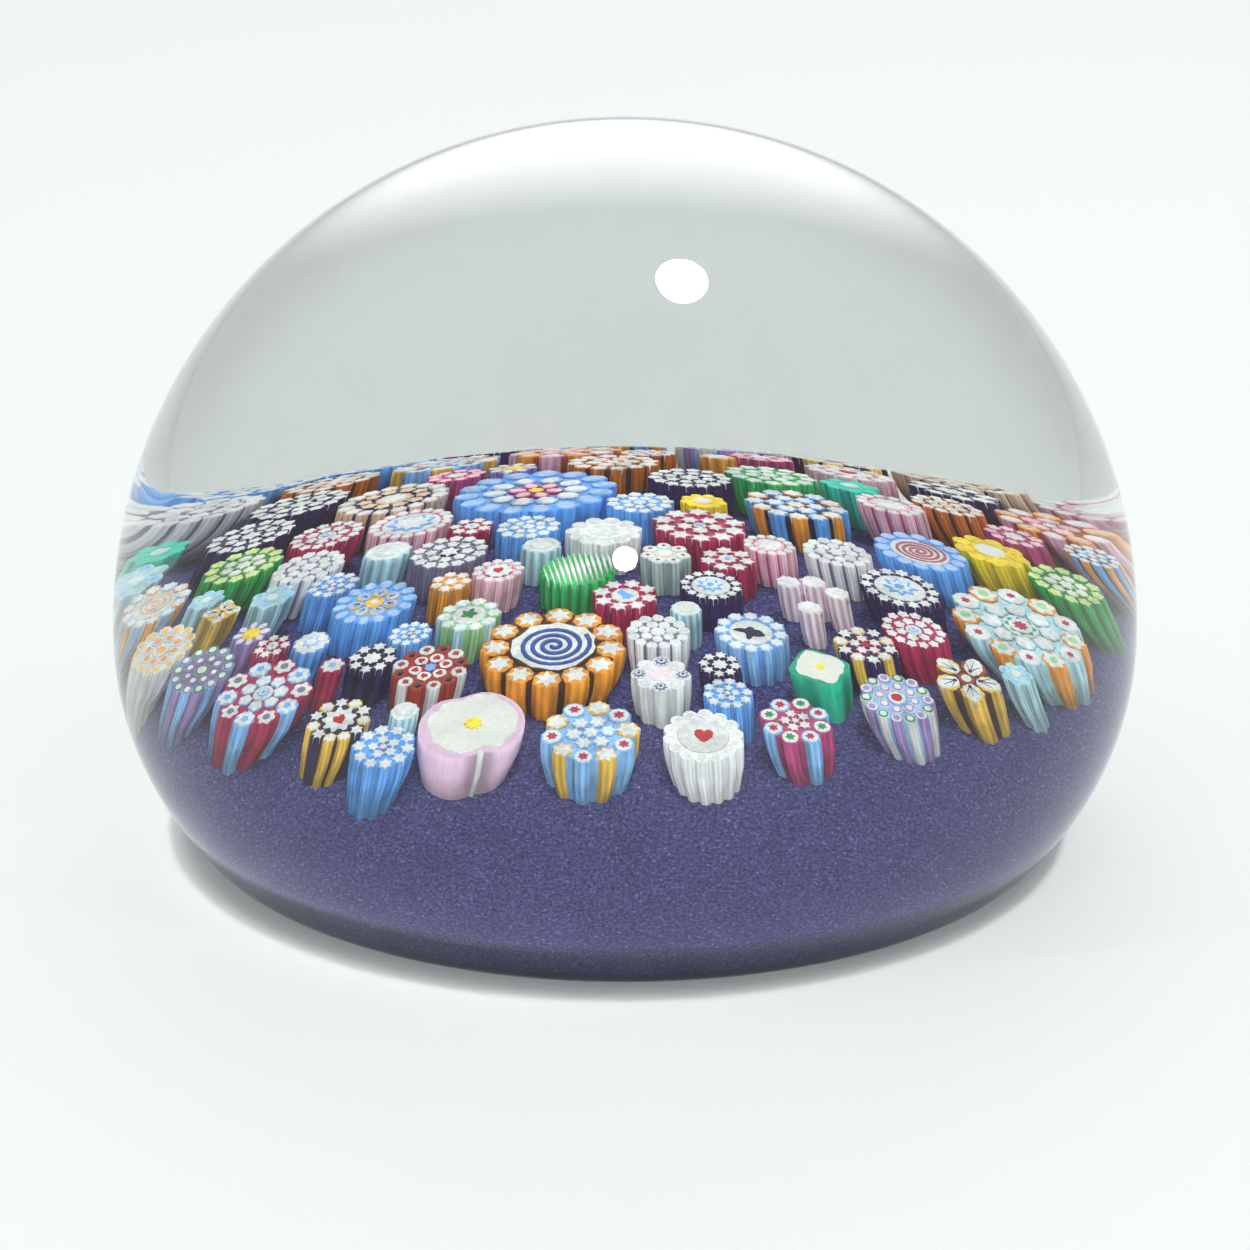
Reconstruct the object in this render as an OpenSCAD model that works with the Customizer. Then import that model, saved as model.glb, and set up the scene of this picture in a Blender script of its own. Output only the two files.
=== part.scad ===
// Closepack millefiori paperweight: a solid glass dome over a cushion of upright cane slices.
// The origin is the centre of the ground foot ring, +Z is up, and every size is in millimetres.

/* [Body] */
// Diameter at the widest point of the dome
weight_d = 76; // [70:0.5:84]
// Height from the foot ring to the crown
weight_h = 52.3; // [50:0.1:56]
// Height of the widest point above the foot ring
widest_z = 15; // [14:0.5:16]
// Radius of the belly arc below the widest point
belly_r = 21.7; // [21:0.1:23]
// Radius of the rolled bottom edge
edge_r = 2.5; // [1.5:0.1:3]

/* [Base] */
// Diameter of the polished hollow inside the foot ring
kick_d = 48; // [40:0.5:52]
// Depth of the polished hollow at its centre
kick_h = 2; // [1:0.1:3]
// Thickness of the clear skin round and under the coloured ground
skin = 1.2; // [1:0.1:1.6]

/* [Cane cushion] */
// Height of the crown of the cane tops above the foot ring
cushion_z = 19.3; // [18:0.1:20]
// Radius of the dome that all the cane tops follow
cushion_r = 50; // [48:0.5:54]
// Height that a cane stands out of the coloured ground
stand = 1.8; // [1.5:0.1:4]
// Depth that a cane foot is sunk in the coloured ground
sunk = 2.7; // [1:0.1:3]
// Lean of a cane's foot away from the middle, in degrees for each millimetre out
splay = 0.75; // [0:0.05:1]

/* [Hidden] */
$fn = 64;
$pocket = false;
weight_r = weight_d / 2;
dome_r = weight_h - widest_z;
cushion_c = cushion_z - cushion_r;
kick_r = (kick_d * kick_d / 4 + kick_h * kick_h) / (2 * kick_h);

// Half outline of the solid weight, drawn a given distance inside the surface.
module half_outline(inset) {
    edge_x = weight_r - belly_r + sqrt(pow(belly_r - edge_r, 2) - pow(widest_z - edge_r, 2));
    // Crown: a quarter round that meets the belly upright at the widest point
    intersection() {
        union() {
            translate([weight_r - dome_r, widest_z]) circle(dome_r - inset);
            translate([0, widest_z]) square([weight_r - dome_r, dome_r - inset]);
        }
        translate([0, widest_z]) square([weight_r, dome_r]);
    }
    // Belly: a tighter arc that runs down to the rolled bottom edge
    intersection() {
        union() {
            translate([weight_r - belly_r, widest_z]) circle(belly_r - inset);
            square([weight_r - belly_r, widest_z]);
        }
        translate([0, edge_r]) square([weight_r, widest_z - edge_r]);
    }
    translate([0, inset]) square([edge_x, edge_r - inset]);
    translate([edge_x, edge_r]) circle(edge_r - inset);
}

// Solid weight, drawn a given distance inside the surface.
module whole_weight(inset) {
    rotate_extrude() intersection() {
        half_outline(inset);
        square([weight_r, weight_h]);
    }
}

// Dome that the cane tops follow, lowered by a given depth.
module cushion_dome(depth) {
    translate([0, 0, cushion_c]) sphere(cushion_r - depth);
}

// Half outline of the polished hollow, grown by a given distance.
module kick_outline(grow) {
    translate([0, kick_h - kick_r]) circle(kick_r + grow);
}

// Cross-section of a bundle of rods fused round a core; lobes = 0 is one plain rod.
module bundle_section(d, lobes) {
    if (lobes == 0) {
        circle(d / 2);
    } else {
        rod_d = d * sin(180 / lobes) / (1 + sin(180 / lobes)) * 1.15;
        ring_r = (d - rod_d) / 2;
        circle(ring_r);
        for (i = [0:lobes - 1])
            rotate(360 * i / lobes) translate([ring_r, 0]) circle(rod_d / 2);
    }
}

// Puts a vertical bundle at a place on the cushion: its foot leans away from the middle.
module stand_at(at) {
    translate([at.x, at.y, cushion_c + sqrt(pow(cushion_r, 2) - at * at)])
        rotate([0, 0, atan2(at.y, at.x)])
            rotate([0, -splay * norm(at), 0]) children();
}

// One slice set in the cushion: at = plan position, d = width over the rods. Its top and its
// foot are both cut to the cushion's dome. As a pocket, it is the plain round hole round it.
module slice(at, d, lobes = 0) {
    reach = 2 * (stand + sunk) + d / 2;
    if ($pocket) {
        stand_at(at) translate([0, 0, -reach]) cylinder(h = 2 * reach, d = d);
    } else {
        intersection() {
            difference() {
                cushion_dome(0);
                cushion_dome(stand + sunk);
            }
            stand_at(at) translate([0, 0, -reach])
                linear_extrude(2 * reach) bundle_section(d, lobes);
        }
    }
}

module cane_blue_spiral() color("darkorange") slice([-4, -11.75], 7.1, 12);

module cane_yellow_dot() color("plum") slice([-8.75, -17.75], 5.4, 7);

module cane_star_cluster() {
    color("cornflowerblue") slice([-2, -19.5], 4.5, 10);
    color("cornflowerblue") slice([-7.5, 17], 4.2, 10);
}

module cane_blue_crimped() color("dodgerblue") {
    slice([-14, -18], 3.4, 14);
    slice([-11.5, -8.25], 2.3, 10);
    slice([5.75, -15.75], 2.5, 12);
    slice([-14.75, -0.5], 2.8, 12);
    slice([-9.5, 21], 4, 14);
}

module cane_heart_amber() {
    color("goldenrod") slice([-16.25, -14.5], 3.6, 11);
    color("goldenrod") slice([8.5, 20.25], 3.9, 11);
}

module cane_crimson_rosette() color("crimson") slice([-20, -9.25], 6, 8);

module cane_navy_stars() color("midnightblue") {
    slice([-13.75, -9.75], 2.8, 8);
    slice([5.25, -13.25], 2.2, 7);
    slice([13.5, 16.5], 3.7, 8);
}

module cane_brick_hearts() color("firebrick") slice([-10.75, -12], 4.2, 6);

module cane_pale_tube() color("paleturquoise") {
    slice([-12.5, -15.5], 1.4);
    slice([3.25, -8], 1.6);
    slice([-4.25, -0.5], 2);
    slice([-11.75, 2], 2.2);
}

module cane_blue_petals() color("royalblue") slice([-13, -4], 4.5, 14);

module cane_green_leaf() color("palegreen") slice([-8.25, -7.5], 3.3, 10);

module cane_amber_stars() color("orange") slice([-9, -3.5], 2.2, 7);

module cane_heart_pink() color("mistyrose") {
    slice([-6.5, -3], 2.7, 12);
    slice([9.5, 16], 3.5, 12);
}

module cane_grey_lace() color("lightgray") slice([-8.75, 0.25], 3.8, 12);

module cane_green_zigzag() color("seagreen") slice([-2.5, -3.75], 3.8, 16);

module cane_white_plain() color("white") slice([-1.25, 1.25], 3.3);

module cane_four_petal() color("gold") slice([-20.25, 1.25], 2.4, 4);

module cane_aqua_plain() color("lightblue") {
    slice([-17.75, 0.5], 2.4);
    slice([-20.5, 3.5], 2.2, 6);
    slice([-21.75, 10.25], 3.2, 8);
    slice([21.25, -6.1], 1.8);
}

module cane_daisy() color("white") {
    slice([-19.5, -2.75], 2.2, 9);
    slice([-5, 13], 2.2, 9);
}

module cane_crimson_stars() color("crimson") {
    slice([-18.75, -5], 2.2, 7);
    slice([-16, -9.25], 1.5, 6);
    slice([-7.5, 3.25], 2.2, 8);
    slice([5.25, -2], 2.8, 8);
}

module cane_blue_disc() color("steelblue") slice([-16.75, -6.25], 2.1, 8);

module cane_white_crimped() color("whitesmoke") {
    slice([-15.5, 2.75], 3.7, 14);
    slice([10.5, 1], 3.3, 12);
    slice([-16.5, 17.25], 4.2, 14);
}

module cane_green_lace() color("mediumseagreen") {
    slice([-18, 6], 4.1, 14);
    slice([20.75, 6.75], 3.4, 12);
}

module cane_black_lace() color("darkslateblue") {
    slice([-16.75, 10], 4, 12);
    slice([-14, 13.25], 4.2, 12);
    slice([3, 10], 3.8, 12);
    slice([-5, 21.5], 4.2, 12);
}

module cane_crimson_lace() color("mediumvioletred") {
    slice([-14, 6.5], 3.5, 12);
    slice([15.25, -5.75], 3.2, 14);
}

module cane_sun() color("pink") slice([-10.25, 5.25], 4, 14);

module cane_beige_lace() color("tan") {
    slice([-10.5, 10], 5, 14);
    slice([12.75, 20.5], 4.1, 12);
}

module cane_blue_rosette() color("deepskyblue") slice([-4.25, 8], 7.6, 16);

module cane_blue_lace() color("cornflowerblue") {
    slice([-4.75, 2.25], 3.3, 12);
    slice([0.75, 5.25], 3.5, 12);
    slice([-13.75, 20.75], 4, 12);
}

module cane_magenta() color("orchid") {
    slice([-7.5, 12.75], 2.6, 8);
    slice([5.75, 17.25], 2.5, 8);
    slice([17.25, 10.75], 2.6, 6);
}

module cane_amber_lace() color("orange") {
    slice([-0.5, 13.25], 4, 12);
    slice([14, 12.75], 3, 10);
    slice([1, 16.25], 2.3, 8);
    slice([4, 16], 1.5, 6);
    slice([-12, 17], 3.7, 12);
}

module cane_teal_plain() color("turquoise") {
    slice([-19.75, 12.5], 2.4);
    slice([10, 12.5], 2.5);
}

module cane_beige_spiral() color("wheat") slice([-22.5, 6.25], 4.2, 12);

module cane_honeycomb() color("antiquewhite") slice([-24, 0.75], 4.6, 12);

module cane_lilac_rings() color("thistle") slice([-22.75, -4], 4.5, 14);

module cane_ruby_ring() color("crimson") slice([3.75, 2.25], 4.6, 14);

module cane_hare() color("crimson") slice([0, -6.75], 3.4, 9);

module cane_red_dotted() color("whitesmoke") slice([2, -1.75], 2.5, 7);

module cane_purple_lace() color("indigo") {
    slice([4.5, -5.25], 3.2, 10);
    slice([14, -1.5], 4, 13);
}

module cane_blue_bird() color("royalblue") slice([6.75, -9.75], 3.8, 12);

module cane_white_fibrous() color("white") slice([1.75, -10.5], 3.2, 9);

module cane_four_stars() color("white") slice([2, -14.5], 3, 4);

module cane_heart_white() color("white") slice([4.5, -19.5], 3.7, 16);

module cane_two_star_ring() color("palevioletred") slice([9.75, -17.25], 3.4, 8);

module cane_cream_teal() color("teal") slice([10.75, -12], 2.9);

module cane_pink_tubes() color("pink") {
    slice([8.5, -3.75], 1.2);
    slice([9.75, -3.25], 1.2);
    slice([11, -4], 1.2);
    slice([9.75, -6.25], 1.2);
}

module cane_red_spiral() color("dodgerblue") slice([14.25, 4], 4.5, 14);

module cane_red_centre() color("khaki") slice([13, -8.75], 3.2, 9);

module cane_many_rings() {
    color("lavender") slice([15.25, -13], 3.6, 12);
    color("lavender") slice([4.25, 21.5], 4.2, 12);
}

module cane_bow_petals() color("gold") slice([18.75, -8.75], 3.3, 4);

module cane_aqua_rosette() color("powderblue") slice([20.25, -0.75], 6.8, 10);

module cane_yellow_plain() color("yellow") {
    slice([17, 7.25], 3.4);
    slice([3.75, 6], 2.1);
}

module cane_beige_petals() {
    color("orange") slice([17.5, 14.5], 4.4, 10);
    color("orange") slice([-2.5, 17.5], 4.4, 10);
}

module cane_pink_stripes() color("hotpink") {
    slice([12, 10.25], 3.1, 10);
    slice([7.25, 0.5], 2.5, 10);
    slice([17.5, 18.75], 3, 10);
}

module cane_bright_green() color("limegreen") slice([6.5, 12], 3.9, 12);

module cane_blue_amber() color("cornflowerblue") {
    slice([8, 7], 4.5, 12);
    slice([20, 12], 2.5, 8);
    slice([-0.5, 22.25], 4, 12);
}

// Every cane slice together, as the glass round them closes on them.
module all_canes() {
    cane_blue_spiral();
    cane_yellow_dot();
    cane_star_cluster();
    cane_blue_crimped();
    cane_heart_amber();
    cane_crimson_rosette();
    cane_navy_stars();
    cane_brick_hearts();
    cane_pale_tube();
    cane_blue_petals();
    cane_green_leaf();
    cane_amber_stars();
    cane_heart_pink();
    cane_grey_lace();
    cane_green_zigzag();
    cane_white_plain();
    cane_four_petal();
    cane_aqua_plain();
    cane_daisy();
    cane_crimson_stars();
    cane_blue_disc();
    cane_white_crimped();
    cane_green_lace();
    cane_black_lace();
    cane_crimson_lace();
    cane_sun();
    cane_beige_lace();
    cane_blue_rosette();
    cane_blue_lace();
    cane_magenta();
    cane_amber_lace();
    cane_teal_plain();
    cane_beige_spiral();
    cane_honeycomb();
    cane_lilac_rings();
    cane_ruby_ring();
    cane_hare();
    cane_red_dotted();
    cane_purple_lace();
    cane_blue_bird();
    cane_white_fibrous();
    cane_four_stars();
    cane_heart_white();
    cane_two_star_ring();
    cane_cream_teal();
    cane_pink_tubes();
    cane_red_spiral();
    cane_red_centre();
    cane_many_rings();
    cane_bow_petals();
    cane_aqua_rosette();
    cane_yellow_plain();
    cane_beige_petals();
    cane_pink_stripes();
    cane_bright_green();
    cane_blue_amber();
}

// Everything under the clear casing: the coloured ground and the base, without pockets.
module ground_body() {
    intersection() {
        whole_weight(skin);
        cushion_dome(stand);
    }
}

// Clear crown and skin, one gather of glass that closes round the canes and the ground.
module clear_casing() color("aliceblue", 0.3) difference() {
    whole_weight(0);
    translate([0, 0, -1]) cylinder(h = skin + 1, r = weight_r);
    ground_body();
    intersection() {
        cushion_dome(0);
        all_canes($pocket = true);
    }
}

// Cushion of coloured glass that the cane feet are sunk in.
module colour_ground() color("darkslateblue") difference() {
    ground_body();
    rotate_extrude() intersection() {
        kick_outline(skin);
        square([weight_r, weight_h]);
    }
    difference() {
        all_canes($pocket = true);
        cushion_dome(stand + sunk);
    }
}

// Clear base: the foot ring, and the thin glass over the polished hollow inside it.
module base_gather() color("azure", 0.3) rotate_extrude() intersection() {
    difference() {
        union() {
            square([weight_r, skin]);
            kick_outline(skin);
        }
        kick_outline(0);
    }
    half_outline(0);
    square([weight_r, weight_h]);
}

clear_casing();
colour_ground();
base_gather();
cane_blue_spiral();
cane_yellow_dot();
cane_star_cluster();
cane_blue_crimped();
cane_heart_amber();
cane_crimson_rosette();
cane_navy_stars();
cane_brick_hearts();
cane_pale_tube();
cane_blue_petals();
cane_green_leaf();
cane_amber_stars();
cane_heart_pink();
cane_grey_lace();
cane_green_zigzag();
cane_white_plain();
cane_four_petal();
cane_aqua_plain();
cane_daisy();
cane_crimson_stars();
cane_blue_disc();
cane_white_crimped();
cane_green_lace();
cane_black_lace();
cane_crimson_lace();
cane_sun();
cane_beige_lace();
cane_blue_rosette();
cane_blue_lace();
cane_magenta();
cane_amber_lace();
cane_teal_plain();
cane_beige_spiral();
cane_honeycomb();
cane_lilac_rings();
cane_ruby_ring();
cane_hare();
cane_red_dotted();
cane_purple_lace();
cane_blue_bird();
cane_white_fibrous();
cane_four_stars();
cane_heart_white();
cane_two_star_ring();
cane_cream_teal();
cane_pink_tubes();
cane_red_spiral();
cane_red_centre();
cane_many_rings();
cane_bow_petals();
cane_aqua_rosette();
cane_yellow_plain();
cane_beige_petals();
cane_pink_stripes();
cane_bright_green();
cane_blue_amber();
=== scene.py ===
import math
import random

import bmesh
import bpy
from mathutils import Matrix, Vector


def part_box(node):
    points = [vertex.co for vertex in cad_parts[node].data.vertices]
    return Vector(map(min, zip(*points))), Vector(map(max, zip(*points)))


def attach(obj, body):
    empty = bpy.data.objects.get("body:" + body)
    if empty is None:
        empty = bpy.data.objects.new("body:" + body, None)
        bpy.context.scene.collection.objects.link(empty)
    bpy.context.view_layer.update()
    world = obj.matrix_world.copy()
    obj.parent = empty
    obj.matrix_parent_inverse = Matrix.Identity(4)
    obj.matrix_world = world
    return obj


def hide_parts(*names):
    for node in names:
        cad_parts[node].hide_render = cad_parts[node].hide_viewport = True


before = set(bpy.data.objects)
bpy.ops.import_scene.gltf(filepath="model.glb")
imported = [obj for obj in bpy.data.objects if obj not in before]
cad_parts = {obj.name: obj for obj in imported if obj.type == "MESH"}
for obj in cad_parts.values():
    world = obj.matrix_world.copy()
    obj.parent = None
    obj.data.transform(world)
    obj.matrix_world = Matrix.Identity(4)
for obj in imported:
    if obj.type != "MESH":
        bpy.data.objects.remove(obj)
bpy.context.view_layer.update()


# Clear glass: the crown, the skin round the sides and the thin base, all one clear lead crystal.
# It is gathered hot over the canes, blown to a low dome, and its foot is ground flat and
# hollowed with a polished dish. The fused joint between crown and base can't be seen.
MM = 0.001
crown_low, crown_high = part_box("clear_casing")
base_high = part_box("base_gather")[1]
WEIGHT_R = (crown_high.x - crown_low.x) / 2
WEIGHT_H = crown_high.z
WIDEST_Z = 15.0 * MM
BELLY_R = 21.7 * MM
EDGE_R = 2.5 * MM
KICK_R = 24.0 * MM
KICK_H = 2.0 * MM
CROWN_STEPS, BELLY_STEPS, EDGE_STEPS, DISH_STEPS = 56, 20, 8, 12
GLASS_TURNS = 256
CRYSTAL_TINT = (0.565, 0.588, 0.576, 1)
CRYSTAL_IOR = 1.51


def arc(centre, radius, start, end, steps):
    """Points of an arc in the X-Z plane, from one angle to another in degrees."""
    angles = [math.radians(start + (end - start) * i / steps) for i in range(steps + 1)]
    x, z = centre
    return [Vector((x + radius * math.cos(a), 0, z + radius * math.sin(a))) for a in angles]


def side_outline(inset):
    """Half outline of the weight from its crown to its foot, a given depth inside the surface."""
    crown_r = WEIGHT_H - WIDEST_Z
    edge_x = WEIGHT_R - BELLY_R + math.sqrt((BELLY_R - EDGE_R) ** 2 - (WIDEST_Z - EDGE_R) ** 2)
    turn = math.degrees(math.atan2(EDGE_R - WIDEST_Z, edge_x - (WEIGHT_R - BELLY_R)))
    points = arc((WEIGHT_R - crown_r, WIDEST_Z), crown_r - inset, 90, 0, CROWN_STEPS)
    points += arc((WEIGHT_R - BELLY_R, WIDEST_Z), BELLY_R - inset, 0, turn, BELLY_STEPS)[1:]
    points += arc((edge_x, EDGE_R), EDGE_R - inset, turn, -90, EDGE_STEPS)[1:]
    return points


def dish(rise):
    """Outline of the hollow under the base, from its rim to the middle, raised by a height."""
    ball_r = (KICK_R ** 2 + KICK_H ** 2) / (2 * KICK_H) + rise
    middle = KICK_H - (KICK_R ** 2 + KICK_H ** 2) / (2 * KICK_H)
    half = math.degrees(math.asin(KICK_R / ball_r))
    return arc((0, middle), ball_r, 90 - half, 90, DISH_STEPS)


def turned(name, outline, steps):
    """A closed solid of revolution from a half outline that starts and ends on the axis."""
    bm = bmesh.new()
    verts = [bm.verts.new(p) for p in outline]
    edges = [bm.edges.new(pair) for pair in zip(verts, verts[1:])]
    bmesh.ops.spin(bm, geom=verts + edges, cent=(0, 0, 0), axis=(0, 0, 1), steps=steps,
                   angle=2 * math.pi, use_merge=True)
    bmesh.ops.remove_doubles(bm, verts=bm.verts, dist=1e-7)
    bmesh.ops.recalc_face_normals(bm, faces=bm.faces)
    for face in bm.faces:
        face.smooth = True
    return finished(name, bm)


def finished(name, bm):
    """An object in the scene from a mesh that is complete."""
    mesh = bpy.data.meshes.new(name)
    bm.to_mesh(mesh)
    bm.free()
    piece = bpy.data.objects.new(name, mesh)
    bpy.context.scene.collection.objects.link(piece)
    return piece


def linear(code):
    """Linear colour from a six-digit colour code as it looks on a screen."""
    parts = [int(code[i:i + 2], 16) / 255 for i in (0, 2, 4)]
    light = [c / 12.92 if c <= 0.04045 else ((c + 0.055) / 1.055) ** 2.4 for c in parts]
    return (*light, 1.0)


def crystal():
    """Clear lead crystal, polished, with the faint grey of its depth."""
    material = bpy.data.materials.new("clear_crystal")
    material.use_nodes = True
    shader = material.node_tree.nodes["Principled BSDF"]
    shader.inputs["Base Color"].default_value = CRYSTAL_TINT
    shader.inputs["Roughness"].default_value = 0.0
    shader.inputs["IOR"].default_value = CRYSTAL_IOR
    shader.inputs["Transmission Weight"].default_value = 1.0
    return material


glass_outline = [Vector((0, 0, WEIGHT_H))] + side_outline(0) + dish(0)
glass_outline[-1].x = 0
clear_glass = turned("clear_glass", glass_outline, GLASS_TURNS)
clear_glass.data.materials.append(crystal())
clear_glass.visible_shadow = False
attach(clear_glass, "root")
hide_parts("clear_casing", "base_gather")


# Coloured ground: a cushion of violet glass, picked up as a coarse powder that melts into
# a granular, slightly cloudy layer. The cane feet sink into it, and it fills the weight to
# just inside the clear skin.
SKIN = base_high.z - KICK_H
CUSHION_R = 50.0 * MM
CUSHION_TOP = 19.3 * MM
CUSHION_CENTRE = Vector((0, 0, CUSHION_TOP - CUSHION_R))
STAND = CUSHION_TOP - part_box("colour_ground")[1].z
CUSHION_STEPS = 60
GROUND_TURNS = 192
GRAIN_SCALE, CLOUD_SCALE = 4600, 260
GRIT_DEPTH = 0.08 * MM


def violet_ground():
    """Violet powder glass: a fine speckle of darker and paler grains over slow cloudy shifts."""
    material = bpy.data.materials.new("violet_ground_glass")
    material.use_nodes = True
    nodes, links = material.node_tree.nodes, material.node_tree.links
    shader = nodes["Principled BSDF"]
    place = nodes.new("ShaderNodeTexCoord")
    grains = nodes.new("ShaderNodeTexNoise")
    grains.inputs["Scale"].default_value = GRAIN_SCALE
    grains.inputs["Detail"].default_value = 3
    grains.inputs["Roughness"].default_value = 0.75
    clouds = nodes.new("ShaderNodeTexNoise")
    clouds.inputs["Scale"].default_value = CLOUD_SCALE
    clouds.inputs["Detail"].default_value = 4
    speckle = nodes.new("ShaderNodeValToRGB")
    speckle.color_ramp.elements[0].position = 0.36
    speckle.color_ramp.elements[0].color = linear("24234a")
    speckle.color_ramp.elements[1].position = 0.66
    speckle.color_ramp.elements[1].color = linear("62619c")
    fleck = speckle.color_ramp.elements.new(0.72)
    fleck.color = linear("b4b2d2")
    middle = speckle.color_ramp.elements.new(0.5)
    middle.color = linear("3c3b70")
    tint = nodes.new("ShaderNodeMix")
    tint.data_type = "RGBA"
    tint.blend_type = "MULTIPLY"
    tint.inputs["Factor"].default_value = 0.6
    drift = nodes.new("ShaderNodeValToRGB")
    drift.color_ramp.elements[0].position = 0.35
    drift.color_ramp.elements[0].color = (0.72, 0.7, 0.82, 1)
    drift.color_ramp.elements[1].position = 0.65
    drift.color_ramp.elements[1].color = (1.0, 1.0, 1.0, 1)
    grit = nodes.new("ShaderNodeBump")
    grit.inputs["Strength"].default_value = 0.18
    grit.inputs["Distance"].default_value = GRIT_DEPTH
    links.new(place.outputs["Object"], grains.inputs["Vector"])
    links.new(place.outputs["Object"], clouds.inputs["Vector"])
    links.new(grains.outputs["Fac"], speckle.inputs["Fac"])
    links.new(clouds.outputs["Fac"], drift.inputs["Fac"])
    links.new(speckle.outputs["Color"], tint.inputs["A"])
    links.new(drift.outputs["Color"], tint.inputs["B"])
    links.new(tint.outputs["Result"], shader.inputs["Base Color"])
    links.new(grains.outputs["Fac"], grit.inputs["Height"])
    links.new(grit.outputs["Normal"], shader.inputs["Normal"])
    shader.inputs["Roughness"].default_value = 0.7
    shader.inputs["Specular IOR Level"].default_value = 0.1
    return material


def ground_outline():
    """Half outline of the cushion: domed top, skin-deep sides, and a floor over the hollow."""
    ball_r = CUSHION_R - STAND
    sides = [p for p in side_outline(SKIN) if (p - CUSHION_CENTRE).length < ball_r]
    meets = math.degrees(math.acos(sides[0].x / (sides[0] - CUSHION_CENTRE).length))
    top = arc((0, CUSHION_CENTRE.z), ball_r, 90, meets, CUSHION_STEPS)
    top[0].x = 0
    under = dish(SKIN)
    under[-1].x = 0
    return top + sides + [p for p in under if p.z > SKIN]


colour_ground = turned("colour_ground_cushion", ground_outline(), GROUND_TURNS)
colour_ground.data.materials.append(violet_ground())
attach(colour_ground, "root")
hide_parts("colour_ground")


# Star canes: bundles of thin rods, each a white star core in a coat of coloured glass, drawn
# hot to a few millimetres across and chopped into short slices. Every slice stands on end in
# the ground, and the outermost are combed outward and down.
COMB_SPLAY = math.radians(0.75) / MM
COMB_SWEEP = 0.22 / MM
SWEEP_DEPTH = 3.2 * MM
LONE_ROD_D = 1.9 * MM
RIM_DEPTH = 0.06 * MM
NEIGHBOUR_SHARE = 0.985
LAYER_RISE = 0.025 * MM
INLAY_DEPTH = 0.35 * MM
ROD_LEVELS = ((-0.06, 1.0), (-0.6, 1.0), (-1.2, 0.98), (-1.8, 0.94), (-2.6, 0.9), (-4.2, 0.86))


def slices_of(node):
    """Top centre and diameter of every slice in a cane's CAD node, in a fixed order."""
    bm = bmesh.new()
    bm.from_mesh(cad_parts[node].data)
    bmesh.ops.remove_doubles(bm, verts=bm.verts, dist=1e-6)
    left, found = set(bm.verts), []
    while left:
        island, edge = set(), [left.pop()]
        while edge:
            vert = edge.pop()
            island.add(vert)
            near = {e.other_vert(vert) for e in vert.link_edges} & left
            left -= near
            edge += near
        rim = [v.co - CUSHION_CENTRE for v in island]
        rim = [p for p in rim if p.length > CUSHION_R - RIM_DEPTH]
        middle = sum(rim, Vector()) / len(rim)
        reach = max((p - middle).length for p in rim)
        found.append((CUSHION_CENTRE + middle.normalized() * CUSHION_R, 2 * reach))
    bm.free()
    return sorted(found, key=lambda s: (round(s[0].y, 5), round(s[0].x, 5)))


CANE_NODES = [node for node in sorted(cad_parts) if node.startswith("cane_")]
SLICES = {node: slices_of(node) for node in CANE_NODES}
EVERY_SLICE = [spot for spots in SLICES.values() for spot in spots]


def room_for(top, width):
    """Width that a slice can have beside its nearest neighbours, shared in proportion."""
    shares = [(top - there).length * 2 * width / (width + other)
              for there, other in EVERY_SLICE if there is not top]
    return min(width, NEIGHBOUR_SHARE * min(shares))


STREAK_SCALE, MIST_SCALE = 4200, 700
STREAK_STRETCH = 0.12
# Painted highlight: how much lighter a rod's crest is painted, as a share of its painted groove shade.
PAINTED_CREST_HIGHLIGHT = 0.7


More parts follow.
